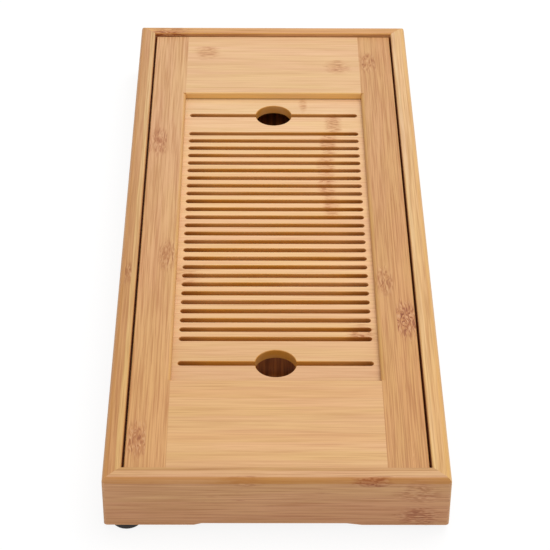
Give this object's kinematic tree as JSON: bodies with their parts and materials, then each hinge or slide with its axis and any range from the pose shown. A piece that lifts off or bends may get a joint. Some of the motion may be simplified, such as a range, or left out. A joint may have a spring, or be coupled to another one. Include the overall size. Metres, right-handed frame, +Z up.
{
  "type": "gongfu tea tray",
  "caption": "Narrow bamboo tea tray: a mitred box on rubber feet with a loose lid, whose sunken slotted board with finger holes drains into a lift-out water tray.",
  "frame": {"origin": "on the surface that the tray stands on, under the middle of the tray", "axes": "+Z up, +Y along the length towards the far end in the picture, +X to the right seen from the near end"},
  "size_m": [0.15, 0.376, 0.03],
  "materials": {
    "bamboo_wall": "carbonised bamboo, sanded and clear lacquered, satin",
    "bamboo_stile": "carbonised bamboo, sanded and clear lacquered, satin",
    "bamboo_board": "pale bamboo, sanded and clear lacquered, satin",
    "bamboo_panel": "bamboo, sanded, unlacquered",
    "tray_plastic": "moulded plastic, reddish brown, fine matt texture",
    "foot_rubber": "moulded rubber, matt"
  },
  "bodies": {
    "box": {"front_wall": "bamboo_wall", "rear_wall": "bamboo_wall", "left_wall": "bamboo_wall", "right_wall": "bamboo_wall", "bottom_panel": "bamboo_panel", "left_cleat": "bamboo_panel", "right_cleat": "bamboo_panel", "front_cleat": "bamboo_panel", "rear_cleat": "bamboo_panel", "front_left_foot": "foot_rubber", "front_right_foot": "foot_rubber", "rear_left_foot": "foot_rubber", "rear_right_foot": "foot_rubber"},
    "lid": {"left_stile": "bamboo_stile", "right_stile": "bamboo_stile", "front_end_board": "bamboo_board", "rear_end_board": "bamboo_board", "slotted_board": "bamboo_board"},
    "water_tray": {"water_tray": "tray_plastic"}
  },
  "joints": [
    {"name": "lid_lift", "type": "slide", "parent": "box", "child": "lid", "axis": [0, 0, 1], "range_m": [0, 0.08]},
    {"name": "water_tray_lift", "type": "slide", "parent": "box", "child": "water_tray", "axis": [0, 0, 1], "range_m": [0, 0.04]}
  ],
  "couplings": [
    {"joint": "water_tray_lift", "follows": "lid_lift", "ratio": 0.5}
  ]
}
